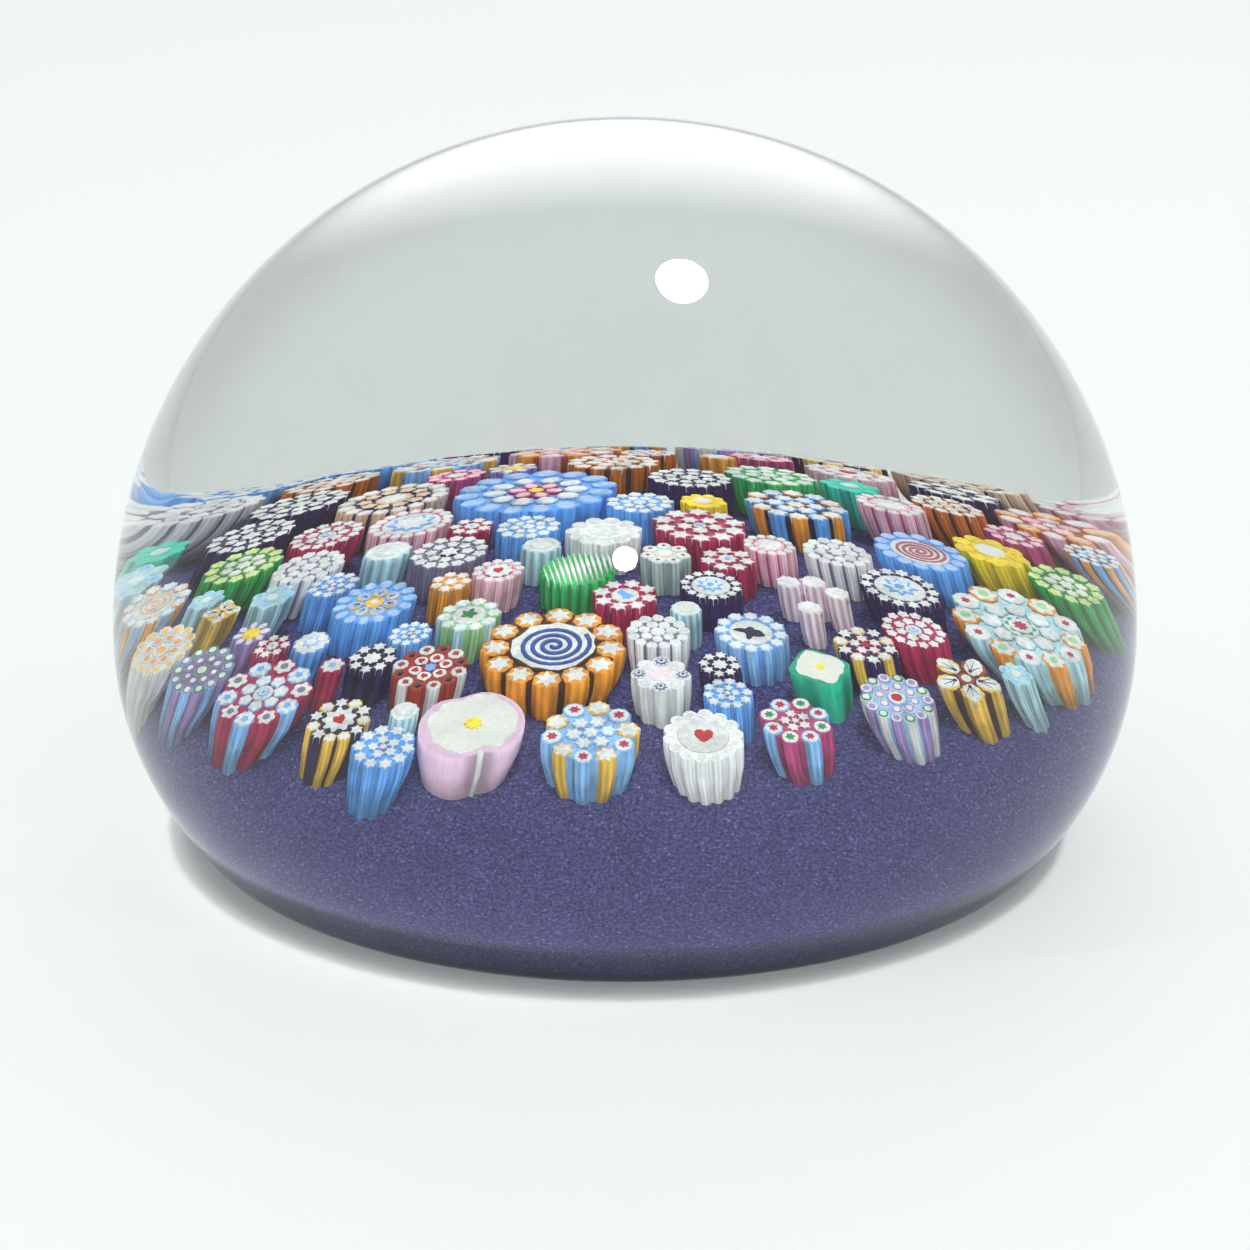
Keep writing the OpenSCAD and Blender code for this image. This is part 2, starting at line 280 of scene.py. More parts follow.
def drawn_glass_group():
    """Colour of drawn glass: lengthwise streaks, slow clouding, painted shade in the grooves between
    rods and a painted highlight on their crests.
    """
    group = bpy.data.node_groups.new("drawn_glass", "ShaderNodeTree")
    group.interface.new_socket("Glass", in_out="INPUT", socket_type="NodeSocketColor")
    group.interface.new_socket("Streaks", in_out="INPUT", socket_type="NodeSocketFloat")
    group.interface.new_socket("Painted_Shade_Strength", in_out="INPUT", socket_type="NodeSocketFloat")
    group.interface.new_socket("Color", in_out="OUTPUT", socket_type="NodeSocketColor")
    nodes, links = group.nodes, group.links
    given, out = nodes.new("NodeGroupInput"), nodes.new("NodeGroupOutput")
    drawn, painted_shade_and_highlight = nodes.new("ShaderNodeAttribute"), nodes.new("ShaderNodeAttribute")
    drawn.attribute_name, painted_shade_and_highlight.attribute_name = "drawn", "painted_shade_and_highlight"
    along = nodes.new("ShaderNodeMapping")
    along.inputs["Scale"].default_value = (1, 1, STREAK_STRETCH)
    streaks, clouds = nodes.new("ShaderNodeTexNoise"), nodes.new("ShaderNodeTexNoise")
    streaks.inputs["Scale"].default_value = STREAK_SCALE
    streaks.inputs["Detail"].default_value = 2
    clouds.inputs["Scale"].default_value = MIST_SCALE
    clouds.inputs["Detail"].default_value = 1
    both = nodes.new("ShaderNodeMath")
    both.operation = "ADD"
    spread = nodes.new("ShaderNodeMath")
    spread.operation = "MULTIPLY_ADD"
    spread.inputs[2].default_value = 1.0
    centre = nodes.new("ShaderNodeMath")
    centre.operation = "SUBTRACT"
    centre.inputs[1].default_value = 1.0
    shade = nodes.new("ShaderNodeMapRange")
    painted_groove_dark = nodes.new("ShaderNodeMath")
    painted_groove_dark.operation = "SUBTRACT"
    painted_groove_dark.inputs[0].default_value = 1.0
    painted_crest_light = nodes.new("ShaderNodeMath")
    painted_crest_light.operation = "MULTIPLY_ADD"
    painted_crest_light.inputs[1].default_value = PAINTED_CREST_HIGHLIGHT
    painted_crest_light.inputs[2].default_value = 1.0
    light = nodes.new("ShaderNodeMath")
    light.operation = "MULTIPLY"
    tinted = nodes.new("ShaderNodeVectorMath")
    tinted.operation = "SCALE"
    links.new(drawn.outputs["Vector"], along.inputs["Vector"])
    links.new(along.outputs["Vector"], streaks.inputs["Vector"])
    links.new(drawn.outputs["Vector"], clouds.inputs["Vector"])
    links.new(streaks.outputs["Fac"], both.inputs[0])
    links.new(clouds.outputs["Fac"], both.inputs[1])
    links.new(both.outputs["Value"], centre.inputs[0])
    links.new(centre.outputs["Value"], spread.inputs[0])
    links.new(given.outputs["Streaks"], spread.inputs[1])
    links.new(given.outputs["Painted_Shade_Strength"], painted_groove_dark.inputs[1])
    links.new(painted_shade_and_highlight.outputs["Fac"], shade.inputs["Value"])
    links.new(painted_groove_dark.outputs["Value"], shade.inputs["To Min"])
    links.new(given.outputs["Painted_Shade_Strength"], painted_crest_light.inputs[0])
    links.new(painted_crest_light.outputs["Value"], shade.inputs["To Max"])
    links.new(spread.outputs["Value"], light.inputs[0])
    links.new(shade.outputs["Result"], light.inputs[1])
    links.new(given.outputs["Glass"], tinted.inputs[0])
    links.new(light.outputs["Value"], tinted.inputs["Scale"])
    links.new(tinted.outputs["Vector"], out.inputs["Color"])
    return group


DRAWN_GLASS = drawn_glass_group()


# Painted light: each glass takes painted shade in the grooves and a painted highlight on the rod
# crests, of a given strength.
def cane_glass(name, code, streaks=0.9, painted_shade_strength=0.55):
    """Opaque to cloudy coloured glass of the drawn rods, seen through the clear crystal."""
    material = bpy.data.materials.new(name + "_glass")
    material.use_nodes = True
    nodes, links = material.node_tree.nodes, material.node_tree.links
    shader = nodes["Principled BSDF"]
    drawn = nodes.new("ShaderNodeGroup")
    drawn.node_tree = DRAWN_GLASS
    drawn.inputs["Glass"].default_value = linear(code)
    drawn.inputs["Streaks"].default_value = streaks
    drawn.inputs["Painted_Shade_Strength"].default_value = painted_shade_strength
    links.new(drawn.outputs["Color"], shader.inputs["Base Color"])
    shader.inputs["Roughness"].default_value = 0.45
    shader.inputs["Specular IOR Level"].default_value = 0.12
    return material


def even(steps):
    """Section of a plain round or many-sided rod."""
    return steps, lambda i, t: 1.0


def star(points, waist=0.6):
    """Section of a star with sharp points and a given waist between them."""
    return 2 * points, lambda i, t: 1.0 if i % 2 == 0 else waist


def cog(teeth, waist=0.78):
    """Section of a cog with square teeth."""
    return 4 * teeth, lambda i, t: 1.0 if i % 4 < 2 else waist


def fluted(ribs, depth=0.1):
    """Section of a rod whose coat has fine lengthwise flutes."""
    return 2 * ribs, lambda i, t: 1.0 if i % 2 == 0 else 1.0 - depth


ROUND = fluted(9)
COIL_SIDES = 20
COIL_WIDTH = 0.23
BODY_SIDES, BODY_REACH = 24, 0.45
BODY_SINK = 0.03 * MM
SPIN_PLAY, DRIFT_PLAY, EDGE_PLAY = 0.15, 0.03, 0.06
PLACE_PLAY, SIZE_PLAY = 0.02, 0.05
TOP_BEVEL = 0.95


def cored(coat, core, section=None, size=0.97):
    """Layers of a coated rod: the coat, and a core of a given section inlaid in its top."""
    return [(ROUND, 1.0, coat), (section or star(6), size, core)]


def lay_coil(bm, at, size, start, turns, tag):
    """A flat spiral ribbon, wound out from the middle of a rod, with its layer tags."""
    steps = round(turns * COIL_SIDES)
    gap = size / turns
    pair = [bm.verts.new((0, 0, 0)), bm.verts.new((0, 0, 0))]
    ribbon = bm.edges.new(pair)
    for i in range(steps + 1):
        if i:
            step = bmesh.ops.extrude_edge_only(bm, edges=[ribbon])["geom"]
            ends = [g for g in step if isinstance(g, bmesh.types.BMVert)]
            sides = [g for g in step if isinstance(g, bmesh.types.BMEdge)]
            ribbon = next(e for e in sides if set(e.verts) == set(ends))
            first = next(v for v in ends if any(e.other_vert(v) is pair[0] for e in v.link_edges))
            pair = [first, next(v for v in ends if v is not first)]
        t = start + 2 * math.pi * i / COIL_SIDES
        far = size * (0.04 + 0.96 * i / steps)
        for vert, side in zip(pair, (-COIL_WIDTH, COIL_WIDTH)):
            reach = max(far + side * gap, 0.01 * size)
            vert.co = at + reach * Vector((math.cos(t), math.sin(t), 0))
            tag(vert)


def lay_rod(bm, layers, at, size, turn, rng, keys):
    """The flat outlines of one rod's layers, each a little prouder than the one round it."""
    paint, axis, hold, rib = keys
    spin = rng.uniform(-SPIN_PLAY, SPIN_PLAY)
    drift = Vector((rng.uniform(-1, 1), rng.uniform(-1, 1), 0)) * size * DRIFT_PLAY
    for level, (section, reach, glass, *shift) in enumerate(layers):
        steps, radius = section
        middle = at + (drift if level else Vector())
        offset = Vector((*shift[0], 0)) if shift else Vector()
        offset.rotate(Matrix.Rotation(turn, 3, "Z"))
        middle = middle + offset * size
        if steps == "coil":
            def tag(vert):
                vert.co.z = level * LAYER_RISE
                vert[paint], vert[hold], vert[axis] = glass, level, at
            lay_coil(bm, middle, reach * size, turn, radius, tag)
            continue
        made = bmesh.ops.create_circle(bm, cap_ends=True, segments=steps, radius=1.0)["verts"]
        made.sort(key=lambda v: math.atan2(v.co.y, v.co.x) % (2 * math.pi - 1e-4))
        for i, vert in enumerate(made):
            t = math.atan2(vert.co.y, vert.co.x)
            play = rng.uniform(-EDGE_PLAY, EDGE_PLAY) * (level > 0)
            far = radius(i, t) * reach * size * (1 + play)
            lean = t + turn + (spin if level else 0)
            vert.co = middle + far * Vector((math.cos(lean), math.sin(lean), 0))
            vert.co.z = level * LAYER_RISE
            vert[paint], vert[hold], vert[rib] = glass, level, radius(i, t)
            vert[axis] = at


def ring_of(count, within):
    """How far out the rods of a ring lie, and each one's reach, in the reach that is left."""
    if count == 1:
        return 0, within
    half = math.sin(math.pi / count)
    return within / (1 + half), within * half / (1 + half)


def cane(node, rings, gap, face=None):
    """A cane design as one piece: every slice of it, ring by ring from the outside in."""
    glasses = [gap]
    bm = bmesh.new()
    marks = bm.verts.layers
    paint, axis = marks.int.new("paint"), marks.float_vector.new("axis")
    hold, rib = marks.int.new("hold"), marks.float.new("rib")
    # Marks per vertex: its place along the drawn rod for the streaks, and how much painted shade or
    # painted highlight it takes.
    drawn, painted_shade_and_highlight = marks.float_vector.new("drawn"), marks.float.new("painted_shade_and_highlight")
    keys = (paint, axis, hold, rib)
    rng = random.Random(node)
    for top, full_width in SLICES[node]:
        width = room_for(top, full_width)
        before = len(bm.verts)
        bm.verts.ensure_lookup_table()
        start_turn = rng.uniform(0, 2 * math.pi)
        if face is not None:
            start_turn = math.radians(face) - math.atan2(top.y, top.x)
        within = 1.0
        core_body = None
        for count, *designs in rings if full_width > LONE_ROD_D else rings[-1:]:
            at, size = ring_of(count, within)
            if core_body is None:
                core_body = at + BODY_REACH * size if count > 1 else 0
            for i in range(count):
                turn = start_turn + 2 * math.pi * i / count
                layers = []
                for section, reach, glass, *shift in designs[i % len(designs)]:
                    if glass not in glasses:
                        glasses.append(glass)
                    layers.append((section, reach, glasses.index(glass), *shift))
                centre = at * Vector((math.cos(turn), math.sin(turn), 0))
                centre = centre * (1 + rng.uniform(-PLACE_PLAY, PLACE_PLAY))
                swell = 1.0 + rng.uniform(-SIZE_PLAY, SIZE_PLAY) if count > 1 else 1.0
                lay_rod(bm, layers, centre * width / 2, size * width / 2 * swell, turn, rng, keys)
            within = at - size if count > 1 else within
        if core_body:
            body = [(even(BODY_SIDES), 1.0, 0)]
            lay_rod(bm, body, Vector(), core_body * width / 2, 0, rng, keys)
            bm.verts.ensure_lookup_table()
            for vert in bm.verts[-BODY_SIDES:]:
                vert.co.z -= BODY_SINK
        build_slice(bm, before, keys, drawn, painted_shade_and_highlight, top, width, rng)
    bmesh.ops.recalc_face_normals(bm, faces=bm.faces)
    for side in bm.faces:
        side.material_index = side.verts[0][paint]
        side.smooth = len(side.verts) == 4 and side.calc_area() > 1e-12
    piece = finished(node + "_slices", bm)
    for glass in glasses:
        piece.data.materials.append(glass)
    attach(piece, "root")
    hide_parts(node)
    return piece


def build_slice(bm, before, keys, drawn, painted_shade_and_highlight, top, width, rng):
    """Pulls the flat outlines down to rods, then stands the slice on the cushion, marking the painted
    shade and highlight of its sides.
    """
    axis, hold, rib = keys[1:]
    bm.verts.ensure_lookup_table()
    fresh = bm.verts[before:]
    faces = list({f for v in fresh for f in v.link_faces})
    down = bmesh.ops.extrude_face_region(bm, geom=faces)["geom"]
    low = [g for g in down if isinstance(g, bmesh.types.BMVert)]
    for vert in low:
        vert.co.z -= INLAY_DEPTH if vert[hold] else -ROD_LEVELS[0][0] * MM
    for face in faces:
        for vert in face.verts:
            if not vert[hold]:
                vert.co = vert[axis] + (vert.co - vert[axis]) * TOP_BEVEL
                vert.co.z = min(vert.co.z, 0)
    bottoms = [g for g in down if isinstance(g, bmesh.types.BMFace) and not g.verts[0][hold]]
    for depth, spread in ROD_LEVELS[1:]:
        rims = list({e for f in bottoms for e in f.edges})
        down = bmesh.ops.extrude_face_region(bm, geom=bottoms + rims)["geom"]
        bottoms = [g for g in down if isinstance(g, bmesh.types.BMFace)]
        for vert in {v for f in bottoms for v in f.verts}:
            vert.co.x *= spread
            vert.co.y *= spread
            vert.co.z = depth * MM
    bm.verts.ensure_lookup_table()
    phi = math.atan2(top.y, top.x)
    radius = math.hypot(top.x, top.y)
    tilt = math.asin(min(radius / CUSHION_R, 1))
    lean = COMB_SPLAY * radius
    e1 = Vector((math.cos(phi) * math.cos(tilt), math.sin(phi) * math.cos(tilt), -math.sin(tilt)))
    e2 = Vector((-math.sin(phi), math.cos(phi), 0))
    stem = Vector((-math.sin(lean) * math.cos(phi), -math.sin(lean) * math.sin(phi), math.cos(lean)))
    outward = Vector((math.cos(phi), math.sin(phi), 0))
    sweep = COMB_SWEEP * (radius / WEIGHT_R) ** 2
    lump = Vector((rng.uniform(-9, 9), rng.uniform(-9, 9), rng.uniform(-9, 9))) * 10 * MM
    for vert in bm.verts[before:]:
        u, v, w = vert.co
        far = math.hypot(u, v) / (width / 2)
        vert[drawn] = vert.co + lump
        # Painted light: the sides of the outer rods are painted lighter toward the cane's rim and
        # darker in the flutes and the grooves between rods; the flat tops take a middle value, a little
        # lighter on the inlays.
        painted_crest_light = max(0.0, min(1.0, (far - 0.78) / 0.2)) - min(0.5, 4.5 * (1 - vert[rib]))
        on_top = 0.62 if vert[hold] else 0.5
        vert[painted_shade_and_highlight] = on_top if w > -0.05 * MM else max(0.0, painted_crest_light)
        w -= (u * u + v * v) / (2 * CUSHION_R)
        vert.co = top + u * e1 + v * e2 + w * stem + sweep * min(-w, SWEEP_DEPTH) ** 2 * outward


WHITE = cane_glass("white", "dce1e0", streaks=0.7, painted_shade_strength=0.4)
SKY = cane_glass("sky_blue", "8cc2f8")
YELLOW = cane_glass("yellow", "ffe02c")
GOLD = cane_glass("gold", "f0c452")
BLUE = cane_glass("bright_blue", "66aefc")
PURPLE = cane_glass("dark_purple", "33215a")
CRIMSON = cane_glass("crimson", "b42858")
AMBER = cane_glass("amber", "f09e30")
BROWN = cane_glass("brown", "4a2410")
NAVY = cane_glass("navy", "17163a")
RASPBERRY = cane_glass("raspberry", "b8487e")
STAR_GREEN = cane_glass("star_green", "2a8f52")

white_star = {
    glass: cored(glass, WHITE)
    for glass in (SKY, GOLD, BLUE, PURPLE, CRIMSON, AMBER, RASPBERRY)
}
crimson_star_disc = [(ROUND, 1.0, SKY), (even(10), 0.78, WHITE), (star(6), 0.5, CRIMSON)]
green_star_disc = [(ROUND, 1.0, RASPBERRY), (even(10), 0.78, WHITE), (star(6), 0.5, STAR_GREEN)]
blue_star_disc = [
    (even(24), 1.0, WHITE), (star(8, 0.6), 0.7, BLUE), (star(8, 0.6), 0.5, WHITE), (even(6), 0.2, BLUE)
]
cane("cane_star_cluster", [
    (10, crimson_star_disc, white_star[GOLD]),
    (6, white_star[SKY]),
    (1, white_star[SKY]),
], SKY)
cane("cane_blue_crimped", [
    (10, white_star[BLUE]),
    (5, white_star[BLUE]),
    (1, white_star[RASPBERRY]),
], BLUE)
cane("cane_navy_stars", [(8, white_star[PURPLE]), (1, cored(NAVY, WHITE, cog(8), 0.8))], NAVY)
cane("cane_amber_stars", [(7, white_star[AMBER]), (1, white_star[AMBER])], AMBER)
cane("cane_crimson_stars", [
    (7, white_star[CRIMSON]),
    (1, [(ROUND, 1.0, CRIMSON), (star(8, 0.75), 0.9, WHITE), (even(8), 0.3, SKY)]),
], CRIMSON)
cane("cane_purple_lace", [(14, white_star[PURPLE]), (1, blue_star_disc)], PURPLE)
cane("cane_ruby_ring", [
    (10, white_star[CRIMSON]),
    (5, white_star[CRIMSON]),
    (1, blue_star_disc),
], CRIMSON)
cane("cane_two_star_ring", [
    (8, green_star_disc, crimson_star_disc),
    (5, white_star[RASPBERRY]),
    (1, white_star[RASPBERRY]),
], RASPBERRY)
cane("cane_blue_amber", [
    (12, white_star[BLUE], white_star[AMBER]),
    (6, white_star[BLUE]),
    (1, white_star[AMBER]),
], NAVY)
cane("cane_red_centre", [
    (10, white_star[GOLD], white_star[PURPLE]),
    (5, white_star[CRIMSON]),
    (1, cored(CRIMSON, CRIMSON, even(8))),
], PURPLE)
cane("cane_blue_disc", [
    (1, [(fluted(12), 1.0, BLUE), (cog(11, 0.88), 0.92, WHITE), (star(7, 0.6), 0.5, SKY),
      (star(7, 0.6), 0.35, WHITE)]),
], BLUE)


# Picture canes: a round picture rod, a spiral, heart, leaf, bird or running hare in white
# glass, ringed with star rods and drawn down together.
def outline(*keys):
    """Section through a ring of angle and reach keys, for a silhouette."""
    def reach(i, t):
        deg = math.degrees(t) % 360
        for (a, p), (b, q) in zip(keys, keys[1:] + ((keys[0][0] + 360, keys[0][1]),)):
            if a <= deg <= b:
                return p + (q - p) * (deg - a) / (b - a)
        return keys[0][1]
    return 36, reach


HEART = outline(
    (0, 1.0), (30, 0.72), (60, 0.7), (90, 0.8), (120, 0.92), (140, 0.94), (160, 0.78),
    (180, 0.45), (200, 0.78), (220, 0.94), (240, 0.92), (270, 0.8), (300, 0.7), (330, 0.72)
)
LEAF = outline(
    (0, 1.0), (30, 0.45), (60, 0.8), (95, 0.4), (130, 0.7), (180, 0.25), (230, 0.7), (265, 0.4),
    (300, 0.8), (330, 0.45)
)
BIRD = outline(
    (0, 1.0), (20, 0.35), (60, 0.4), (85, 0.95), (115, 0.4), (170, 0.9), (190, 0.75), (230, 0.4),
    (270, 0.55), (320, 0.4)
)
HARE = outline(
    (0, 0.95), (25, 0.6), (50, 0.85), (70, 0.4), (150, 0.4), (180, 0.95), (215, 0.85), (240, 0.35),
    (300, 0.35), (325, 0.9), (345, 0.5)
)
RED = cane_glass("red", "b82028")
LEAF_GREEN = cane_glass("leaf_green", "2a8246")
PALE_GREEN = cane_glass("pale_green", "9ad49a")
AQUA = cane_glass("pale_aqua", "b4e0ea")
BRICK = cane_glass("brick", "a83c2c")
PINK = cane_glass("pale_pink", "eebccc")
CREAM = cane_glass("cream", "dee2da", streaks=0.25)
PALE_BLUE = cane_glass("pale_blue", "a4c0ea")
SPIRAL_BLUE = cane_glass("spiral_blue", "35529e", painted_shade_strength=0.1)
SPIRAL_RED = cane_glass("spiral_red", "b06a78", painted_shade_strength=0.1)
IVORY = cane_glass("ivory_white", "f4f8fa", streaks=0.5, painted_shade_strength=0.4)
BEIGE = cane_glass("beige", "dcc0a4")
DISC = (even(28), 1.0, WHITE)
AMBER_COAT = cored(AMBER, WHITE, star(6, 0.55), 0.85)
cane("cane_blue_spiral", [
    (12, AMBER_COAT),
    (1, [(even(28), 1.04, BROWN), (even(28), 0.97, WHITE), (("coil", 3.6), 0.86, SPIRAL_BLUE)]),
], BROWN)
cane("cane_red_spiral", [
    (14, cored(BLUE, PALE_BLUE, even(10), 0.82)),
    (1, [DISC, (("coil", 4), 0.9, SPIRAL_RED)]),
], BLUE)
cane("cane_beige_spiral", [
    (12, cored(PALE_BLUE, WHITE), cored(AMBER, WHITE)),
    (1, [DISC, (("coil", 3), 0.85, BEIGE)]),
], AQUA)
cane("cane_heart_amber", [
    (11, white_star[GOLD], white_star[PURPLE]),
    (1, [(even(28), 1.0, PURPLE), (cog(9), 0.95, WHITE), (HEART, 0.4, RED)]),
], BROWN, -90)
cane("cane_green_leaf", [
    (10, cored(PALE_GREEN, WHITE), cored(AQUA, WHITE)),
    (1, [DISC, (LEAF, 0.7, LEAF_GREEN)]),
], PALE_GREEN)
cane("cane_heart_pink", [
    (12, cored(PINK, WHITE)),
    (1, [(even(28), 1.0, RASPBERRY), (cog(10, 0.85), 0.95, WHITE), (HEART, 0.4, RED)]),
], PINK, -90)
cane("cane_heart_white", [
    (14, cored(IVORY, WHITE, star(5), 0.8)),
    (1, [DISC, (HEART, 0.42, RED)]),
], IVORY, -90)
cane("cane_blue_bird", [(12, white_star[SKY]), (1, [DISC, (BIRD, 0.75, NAVY)])], BLUE)
cane("cane_hare", [(8, white_star[CRIMSON]), (1, [(even(8), 1.0, WHITE), (HARE, 0.75, BLUE)])], CRIMSON)
cane("cane_brick_hearts", [
    (12, cored(BRICK, NAVY, even(4), 0.5), cored(WHITE, BRICK, even(4), 0.5)),
    (6, [(ROUND, 1.0, BRICK), (even(12), 0.9, WHITE), (HEART, 0.55, RED)]),
    (1, cored(BRICK, BLUE, cog(6), 0.8)),
], BRICK)


# Lace canes: two or three rings of crimped white rods, each in a hair-thin coat of dark or
# coloured glass, so that the top reads as white lace with coloured lines.
def lace(coat, core=None, teeth=5):
    """Layers of a crimped rod in a thin coat."""
    return cored(coat, core or WHITE, cog(teeth, 0.76), 0.9)


SLATE = cane_glass("slate_lilac", "7d7898")
GREEN = cane_glass("green", "2fae54")
LIME = cane_glass("pale_lime", "c8dc92")
BRIGHT_GREEN = cane_glass("bright_green", "34c46a")
ORANGE = cane_glass("orange", "d8741c")
LILAC = cane_glass("lilac", "a48cc8")
cane("cane_grey_lace", [(14, lace(SLATE)), (8, lace(SLATE)), (1, cored(NAVY, WHITE))], SLATE)
cane("cane_black_lace", [(14, lace(PURPLE)), (8, lace(NAVY)), (1, cored(NAVY, WHITE))], PURPLE)
cane("cane_crimson_lace", [(14, lace(CRIMSON)), (7, lace(RASPBERRY)), (1, blue_star_disc)], CRIMSON)
cane("cane_green_lace", [
    (12, lace(GREEN, LIME)),
    (7, cored(LIME, WHITE)),
    (1, cored(GREEN, WHITE)),
], LEAF_GREEN)
cane("cane_beige_lace", [
    (16, lace(BEIGE)),
    (10, lace(PURPLE, BEIGE)),
    (1, cored(BEIGE, WHITE, star(9, 0.7), 0.8)),
], PURPLE)
cane("cane_blue_lace", [(12, lace(BLUE)), (7, lace(SKY)), (1, cored(BLUE, WHITE))], BLUE)
cane("cane_amber_lace", [(12, lace(ORANGE)), (6, lace(AMBER)), (1, cored(AMBER, WHITE))], BROWN)
cane("cane_bright_green", [
    (12, lace(BRIGHT_GREEN)),
    (7, lace(BRIGHT_GREEN)),
    (1, cored(GREEN, WHITE)),
], GREEN)
cane("cane_white_crimped", [(14, lace(IVORY)), (8, lace(IVORY)), (1, cored(LILAC, WHITE))], SLATE)
cane("cane_white_fibrous", [
    (13, lace(IVORY, WHITE, 4)),
    (7, lace(IVORY)),
    (1, cored(IVORY, WHITE)),
], SLATE)
cane("cane_white_plain", [
    (11, cored(IVORY, WHITE, even(8), 0.8)),
    (1, [(even(24), 1.0, IVORY), (star(9, 0.75), 0.8, WHITE)]),
], IVORY)
cane("cane_sun", [
    (18, cored(PINK, WHITE, even(8), 0.85)),
    (1, [DISC, (star(9, 0.7), 0.8, BLUE), (star(9, 0.7), 0.65, WHITE)]),
], RASPBERRY)
cane("cane_magenta", [
    (9, lace(RASPBERRY, PINK)),
    (1, cored(RASPBERRY, WHITE, star(8, 0.7), 0.8)),
], RASPBERRY)
cane("cane_pink_stripes", [
    (13, lace(PINK)),
    (1, [(even(24), 1.0, PINK), (star(10, 0.75), 0.85, WHITE)]),
], RASPBERRY)


# Petal canes and rosettes: oval or rounded petals laid round a middle rod like a flower. The
# rosettes have a second and third ring inside the first.
def petal(i, t):
    """Reach of an oval petal, its long way out from the middle of the cane."""
    return 1 / math.hypot(math.cos(t), math.sin(t) / 0.66)


PETAL = (14, petal)
VEINS = outline(
    (0, 1.0), (10, 0.15), (20, 0.15), (30, 0.85), (40, 0.12), (180, 0.08), (320, 0.12), (330, 0.85),
    (340, 0.15), (350, 0.15)
)
BLACK = cane_glass("black", "14121a")
TEAL = cane_glass("teal", "1ea684")
PALE_TEAL = cane_glass("pale_teal", "c4dcd8")
SHELL = cane_glass("shell_pink", "f4e0ea", streaks=0.5)
cane("cane_blue_petals", [
    (14, cored(BLUE, PALE_BLUE, PETAL, 0.92)),
    (7, [(ROUND, 1.0, GOLD), (PETAL, 0.98, PALE_BLUE), (VEINS, 0.9, NAVY, (-0.5, 0))]),
    (1, cored(GOLD, WHITE, even(6), 0.4)),
], BLUE)
veined = [(PETAL, 1.0, WHITE), (VEINS, 1.35, BLACK, (-0.7, 0))]
gold_petal, brick_petal = [(ROUND, 1.0, GOLD)] + veined, [(ROUND, 1.0, BRICK)] + veined
cane("cane_four_petal", [(4, gold_petal), (1, cored(GOLD, NAVY, even(6), 0.5))], GOLD)
cane("cane_daisy", [(8, cored(LILAC, WHITE, PETAL, 0.95)), (1, [(even(14), 1.1, YELLOW)])], LILAC)
cane("cane_blue_rosette", [
    (15, cored(BLUE, PALE_BLUE, PETAL, 0.9)),
    (10, cored(PALE_BLUE, WHITE, PETAL, 0.9)),
    (6, cored(RASPBERRY, PINK, PETAL, 0.9)),
    (1, cored(RASPBERRY, YELLOW, star(8, 0.7), 0.9)),
], BLUE)
crimson_cog = [(ROUND, 1.0, CRIMSON), (cog(6), 0.86, WHITE), (even(8), 0.35, SLATE)]
sky_cog = [(ROUND, 1.0, SKY), (cog(6), 0.86, WHITE), (star(5), 0.4, BLUE)]
cane("cane_crimson_rosette", [(10, crimson_cog, sky_cog), (7, lace(SKY)), (1, blue_star_disc)], CRIMSON)
cane("cane_bow_petals", [
    (5, gold_petal, gold_petal, brick_petal),
    (1, cored(BRICK, WHITE, even(8), 0.6)),
], BROWN, -60)
cane("cane_beige_petals", [
    (10, cored(AMBER, BEIGE, PETAL, 0.9), cored(PINK, WHITE, PETAL, 0.9)),
    (5, cored(BEIGE, PINK)),
    (1, cored(BEIGE, WHITE)),
], BRICK)
aqua_rod = [(ROUND, 1.0, AQUA), (even(12), 0.85, WHITE), (star(6), 0.35, CRIMSON)]
amber_cog = [(ROUND, 1.0, AMBER), (cog(6), 0.85, WHITE), (even(8), 0.35, PALE_GREEN)]
teal_disc = [
    (even(24), 1.0, WHITE), (cog(8), 0.85, TEAL), (even(16), 0.65, WHITE),
    (star(8), 0.45, CRIMSON)
]
cane("cane_aqua_rosette", [(12, aqua_rod, amber_cog), (8, lace(AQUA)), (1, teal_disc)], AQUA)
navy_star_disc = [
    (even(24), 1.0, WHITE), (star(8, 0.6), 0.8, SPIRAL_BLUE), (star(8, 0.6), 0.52, WHITE),
    (even(6), 0.2, SPIRAL_BLUE)
]
cane("cane_four_stars", [
    (8, navy_star_disc, cored(IVORY, WHITE, even(8), 0.85)),
    (1, cored(IVORY, SHELL, even(16), 0.85)),
], IVORY, -90)


# Ring and dot canes: bundles of fine glass tubes and coated rods, drawn down together and cut
# to show small rings, dots and hexagons. They stand in the ground like the other slices.
def ringed(coat, rim, middle, steps=10):
    """Layers of a tube: its coat, a coloured rim, and the middle."""
    return [(ROUND, 1.0, coat), (even(steps), 0.8, rim), (even(steps), 0.52, middle)]


